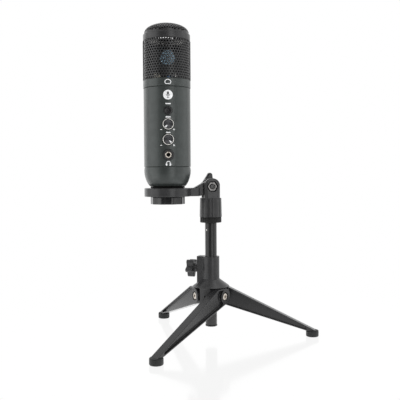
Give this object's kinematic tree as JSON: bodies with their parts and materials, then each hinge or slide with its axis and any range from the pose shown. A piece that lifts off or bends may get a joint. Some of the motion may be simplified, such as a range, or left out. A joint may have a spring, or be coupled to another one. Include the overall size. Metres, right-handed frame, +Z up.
{
  "type": "desktop microphone",
  "caption": "Cylindrical side-address USB condenser microphone on a tilting ring bracket, sliding pole and folding tripod.",
  "frame": {"origin": "on the surface that it stands on, under the middle of the whole object's plan box", "axes": "+Z up; the controls face -Y; the microphone is on the -X side of the pole"},
  "size_m": [0.179, 0.194, 0.3191],
  "materials": {
    "body_paint": "satin dark grey-green paint",
    "grille_paint": "satin black painted perforated sheet",
    "black_plastic": "finely grained black moulding",
    "pole_paint": "semi-gloss black paint",
    "rubber": "matt black rubber",
    "steel": "plated",
    "brass": "turned",
    "capsule_metal": "metallised disc",
    "board_green": "solder mask"
  },
  "bodies": {
    "stand": {"hub": "black_plastic", "leg_screw_1": "steel", "leg_screw_2": "steel", "leg_screw_3": "steel", "clamp_insert": "brass"},
    "leg_a": {"leg_1": "black_plastic", "foot_1": "rubber"},
    "leg_b": {"leg_2": "black_plastic", "foot_2": "rubber"},
    "leg_c": {"leg_3": "black_plastic", "foot_3": "rubber"},
    "clamp": {"clamp_knob": "black_plastic", "clamp_screw": "steel"},
    "mast": {"pole": "pole_paint", "pole_plug": "rubber", "pole_stud": "steel", "pole_pin": "steel"},
    "locking_ring": {"lock_ring": "black_plastic"},
    "swivel": {"swivel_socket": "black_plastic", "tilt_nut": "steel"},
    "tilt_lock": {"tilt_knob": "black_plastic", "tilt_bolt": "steel"},
    "bracket": {"mount_ring": "black_plastic"},
    "microphone": {"mount_gasket": "rubber", "mount_stub": "steel", "base_cup": "body_paint", "cup_screw_left": "steel", "cup_screw_right": "steel", "body_tube": "body_paint", "grille_ring": "body_paint", "upper_band": "grille_paint", "front_grille": "grille_paint", "rear_grille": "grille_paint", "side_post_left": "black_plastic", "side_post_right": "black_plastic", "top_grille": "grille_paint", "capsule": "capsule_metal", "capsule_carrier": "black_plastic", "base_plate": "steel", "capsule_deck": "steel", "chassis_rail_left": "steel", "chassis_rail_right": "steel", "circuit_board": "board_green", "mute_switch": "black_plastic", "gain_pot": "black_plastic", "volume_pot": "black_plastic", "headphone_jack": "black_plastic", "jack_washer": "black_plastic", "usb_socket": "steel"},
    "ring_nut": {"retaining_nut": "black_plastic"},
    "mute": {"mute_button": "black_plastic"},
    "gain": {"gain_knob": "black_plastic", "gain_trim": "steel"},
    "volume": {"volume_knob": "black_plastic", "volume_trim": "steel"}
  },
  "joints": [
    {"name": "leg_a_fold", "type": "hinge", "parent": "stand", "child": "leg_a", "pos_m": [-0.02054, -0.00395, 0.0445], "axis": [0.2065, 0.9785, 0], "range_deg": [0, 66]},
    {"name": "leg_b_fold", "type": "hinge", "parent": "stand", "child": "leg_b", "pos_m": [-0.02183, -0.0028, 0.0445], "axis": [-0.9506, -0.3104, 0], "range_deg": [0, 66]},
    {"name": "leg_c_fold", "type": "hinge", "parent": "stand", "child": "leg_c", "pos_m": [-0.02219, -0.00449, 0.0445], "axis": [0.7441, -0.668, 0], "range_deg": [0, 66]},
    {"name": "clamp_turn", "type": "hinge", "parent": "stand", "child": "clamp", "pos_m": [-0.02152, -0.00375, 0.0718], "axis": [-0.9041, 0.4274, 0], "range_deg": [0, 360]},
    {"name": "mast_slide", "type": "slide", "parent": "stand", "child": "mast", "axis": [0, 0, 1], "range_m": [-0.012, 0.024]},
    {"name": "locking_ring_turn", "type": "hinge", "parent": "mast", "child": "locking_ring", "pos_m": [-0.02152, -0.00375, 0.1219], "axis": [0, 0, 1], "range_deg": [0, 360]},
    {"name": "swivel_turn", "type": "hinge", "parent": "mast", "child": "swivel", "pos_m": [-0.02152, -0.00375, 0.1346], "axis": [0, 0, 1], "range_deg": [-180, 180]},
    {"name": "tilt_lock_turn", "type": "hinge", "parent": "swivel", "child": "tilt_lock", "pos_m": [-0.02152, -0.00375, 0.1561], "axis": [-0.0958, 0.9954, 0], "range_deg": [0, 360]},
    {"name": "tilt", "type": "hinge", "parent": "swivel", "child": "bracket", "pos_m": [-0.02152, -0.00375, 0.1561], "axis": [-0.0958, 0.9954, 0], "range_deg": [-8, 90]},
    {"name": "microphone_turn", "type": "hinge", "parent": "bracket", "child": "microphone", "pos_m": [-0.06561, -0.00799, 0.1506], "axis": [0, 0, 1], "range_deg": [-180, 180]},
    {"name": "ring_nut_turn", "type": "hinge", "parent": "microphone", "child": "ring_nut", "pos_m": [-0.06561, -0.00799, 0.1424], "axis": [0, 0, 1], "range_deg": [0, 360]},
    {"name": "mute_press", "type": "slide", "parent": "microphone", "child": "mute", "axis": [0, 1, 0], "range_m": [0, 0.0008], "stiffness_N_per_m": 400, "springref_m": -0.0004},
    {"name": "gain_turn", "type": "hinge", "parent": "microphone", "child": "gain", "pos_m": [-0.06561, -0.0314, 0.2173], "axis": [0, 1, 0], "range_deg": [0, 270]},
    {"name": "volume_turn", "type": "hinge", "parent": "microphone", "child": "volume", "pos_m": [-0.06561, -0.0314, 0.2024], "axis": [0, 1, 0], "range_deg": [-270, 0]}
  ]
}
